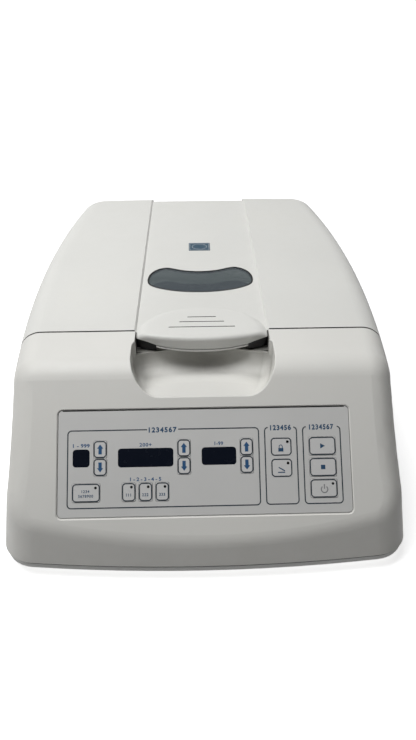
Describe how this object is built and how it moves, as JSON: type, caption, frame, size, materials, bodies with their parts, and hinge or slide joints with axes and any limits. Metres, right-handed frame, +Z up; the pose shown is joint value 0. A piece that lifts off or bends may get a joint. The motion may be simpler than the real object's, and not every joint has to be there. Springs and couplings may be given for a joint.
{
  "type": "cytocentrifuge",
  "caption": "Bench cytocentrifuge: sloping key panel, hinged lid with smoked window and pull lip, sealed spinning head with tilting slide holders inside.",
  "frame": {"origin": "centre of the footprint, on the bench under the feet", "axes": "+X to the right seen from the front, +Y from the control panel to the back, +Z up"},
  "size_m": [0.4116, 0.573, 0.2273],
  "materials": {
    "case_plastic": "fine moulded texture, off-white",
    "lid_plastic": "fine moulded texture, off-white",
    "tray_plastic": "fine moulded texture, light grey",
    "liner_plastic": "dark grey moulded",
    "paddle_plastic": "fine moulded texture, off-white",
    "panel_film": "light grey textured film",
    "key_film": "light grey film",
    "display_glass": "near-black tinted window",
    "led": "dark lens",
    "smoked_glass": "smoked glass",
    "clear_plastic": "clear polycarbonate",
    "slide_glass": "clear glass",
    "seal_rubber": "black rubber",
    "foot_rubber": "black rubber",
    "stainless": "brushed stainless steel",
    "zinc_steel": "zinc-plated steel",
    "cast_alloy": "bead-blasted aluminium",
    "black_steel": "black powder coat",
    "head_polymer": "dark grey moulded",
    "chamber_polymer": "translucent white moulded",
    "board": "green solder mask",
    "label_film": "plain blue film",
    "knob_plastic": "black moulded",
    "module_plastic": "black moulded",
    "switch_plastic": "black gloss moulded"
  },
  "bodies": {
    "case": {"base_tray": "tray_plastic", "feet": "foot_rubber", "case_housing": "case_plastic", "deck_panel": "case_plastic", "rear_panel": "cast_alloy", "spin_bowl": "stainless", "motor_plate": "zinc_steel", "motor_body": "black_steel", "motor_isolators": "seal_rubber", "control_panel": "panel_film", "display_windows": "display_glass", "status_windows": "key_film", "indicator_leds": "led", "control_board": "board", "power_supply": "board", "mains_inlet": "module_plastic", "fan_frame": "module_plastic", "fan_guard": "stainless", "hinge_brackets": "zinc_steel", "hinge_pins": "stainless", "case_screws": "zinc_steel", "lock_solenoid": "zinc_steel", "lid_switch": "module_plastic"},
    "lid": {"lid_shell": "lid_plastic", "lid_liner": "liner_plastic", "lid_window": "smoked_glass", "window_gasket": "seal_rubber", "lid_seal": "seal_rubber", "lid_hinge_straps": "zinc_steel", "lid_striker": "stainless", "lid_label": "label_film"},
    "release_paddle": {"release_paddle": "paddle_plastic"},
    "rotor": {"rotor_shaft": "stainless", "head_base": "head_polymer", "head_carrier": "cast_alloy", "head_seal": "seal_rubber", "head_lid": "clear_plastic"},
    "head_knob": {"head_knob": "knob_plastic"},
    "sample_holder_a": {"sample_clip_a": "stainless", "sample_slide_a": "slide_glass", "sample_chamber_a": "chamber_polymer"},
    "sample_holder_b": {"sample_clip_b": "stainless", "sample_slide_b": "slide_glass", "sample_chamber_b": "chamber_polymer"},
    "lock_bolt": {"lock_bolt": "stainless"},
    "power_switch": {"power_switch": "switch_plastic"},
    "fan_rotor": {"fan_rotor": "module_plastic"},
    "key_program_up": {"key_program_up": "key_film"},
    "key_program_down": {"key_program_down": "key_film"},
    "key_speed_up": {"key_speed_up": "key_film"},
    "key_speed_down": {"key_speed_down": "key_film"},
    "key_time_up": {"key_time_up": "key_film"},
    "key_time_down": {"key_time_down": "key_film"},
    "key_save": {"key_save": "key_film"},
    "key_ramp_1": {"key_ramp_1": "key_film"},
    "key_ramp_2": {"key_ramp_2": "key_film"},
    "key_ramp_3": {"key_ramp_3": "key_film"},
    "key_start": {"key_start": "key_film"},
    "key_stop": {"key_stop": "key_film"},
    "key_power": {"key_power": "key_film"}
  },
  "joints": [
    {"name": "lid_hinge", "type": "hinge", "parent": "case", "child": "lid", "pos_m": [0, 0.2815, 0.119], "axis": [-1, 0, 0], "range_deg": [0, 72]},
    {"name": "release_paddle_pull", "type": "hinge", "parent": "lid", "child": "release_paddle", "pos_m": [0, -0.1145, 0.1715], "axis": [-1, 0, 0], "range_deg": [0, 1.6], "stiffness_Nm_per_rad": 0.8},
    {"name": "rotor_spin", "type": "hinge", "parent": "case", "child": "rotor", "pos_m": [0, 0.0755, 0.1], "axis": [0, 0, 1], "continuous": true},
    {"name": "head_knob_turn", "type": "hinge", "parent": "rotor", "child": "head_knob", "pos_m": [0, 0.0755, 0.17], "axis": [0, 0, 1], "range_deg": [0, 90]},
    {"name": "sample_holder_a_tilt", "type": "hinge", "parent": "rotor", "child": "sample_holder_a", "pos_m": [0, -0.0285, 0.099], "axis": [1, 0, 0], "range_deg": [0, 12]},
    {"name": "sample_holder_b_tilt", "type": "hinge", "parent": "rotor", "child": "sample_holder_b", "pos_m": [0, 0.1795, 0.099], "axis": [-1, 0, 0], "range_deg": [0, 12]},
    {"name": "lock_bolt_slide", "type": "slide", "parent": "case", "child": "lock_bolt", "axis": [0, 1, 0], "range_m": [0, 0.014], "stiffness_N_per_m": 100},
    {"name": "power_switch_rock", "type": "hinge", "parent": "case", "child": "power_switch", "pos_m": [-0.0905, 0.2655, 0.056], "axis": [1, 0, 0], "range_deg": [0, 18]},
    {"name": "fan_spin", "type": "hinge", "parent": "case", "child": "fan_rotor", "pos_m": [0.092, 0.2585, 0.057], "axis": [0, 1, 0], "continuous": true},
    {"name": "key_program_up_press", "type": "slide", "parent": "case", "child": "key_program_up", "axis": [0, 0.7862, -0.6179], "range_m": [0, 0.0005], "stiffness_N_per_m": 1500},
    {"name": "key_program_down_press", "type": "slide", "parent": "case", "child": "key_program_down", "axis": [0, 0.7862, -0.6179], "range_m": [0, 0.0005], "stiffness_N_per_m": 1500},
    {"name": "key_speed_up_press", "type": "slide", "parent": "case", "child": "key_speed_up", "axis": [0, 0.7862, -0.6179], "range_m": [0, 0.0005], "stiffness_N_per_m": 1500},
    {"name": "key_speed_down_press", "type": "slide", "parent": "case", "child": "key_speed_down", "axis": [0, 0.7862, -0.6179], "range_m": [0, 0.0005], "stiffness_N_per_m": 1500},
    {"name": "key_time_up_press", "type": "slide", "parent": "case", "child": "key_time_up", "axis": [0, 0.7862, -0.6179], "range_m": [0, 0.0005], "stiffness_N_per_m": 1500},
    {"name": "key_time_down_press", "type": "slide", "parent": "case", "child": "key_time_down", "axis": [0, 0.7862, -0.6179], "range_m": [0, 0.0005], "stiffness_N_per_m": 1500},
    {"name": "key_save_press", "type": "slide", "parent": "case", "child": "key_save", "axis": [0, 0.7862, -0.6179], "range_m": [0, 0.0005], "stiffness_N_per_m": 1500},
    {"name": "key_ramp_1_press", "type": "slide", "parent": "case", "child": "key_ramp_1", "axis": [0, 0.7862, -0.6179], "range_m": [0, 0.0005], "stiffness_N_per_m": 1500},
    {"name": "key_ramp_2_press", "type": "slide", "parent": "case", "child": "key_ramp_2", "axis": [0, 0.7862, -0.6179], "range_m": [0, 0.0005], "stiffness_N_per_m": 1500},
    {"name": "key_ramp_3_press", "type": "slide", "parent": "case", "child": "key_ramp_3", "axis": [0, 0.7862, -0.6179], "range_m": [0, 0.0005], "stiffness_N_per_m": 1500},
    {"name": "key_start_press", "type": "slide", "parent": "case", "child": "key_start", "axis": [0, 0.7862, -0.6179], "range_m": [0, 0.0005], "stiffness_N_per_m": 1500},
    {"name": "key_stop_press", "type": "slide", "parent": "case", "child": "key_stop", "axis": [0, 0.7862, -0.6179], "range_m": [0, 0.0005], "stiffness_N_per_m": 1500},
    {"name": "key_power_press", "type": "slide", "parent": "case", "child": "key_power", "axis": [0, 0.7862, -0.6179], "range_m": [0, 0.0005], "stiffness_N_per_m": 1500}
  ]
}
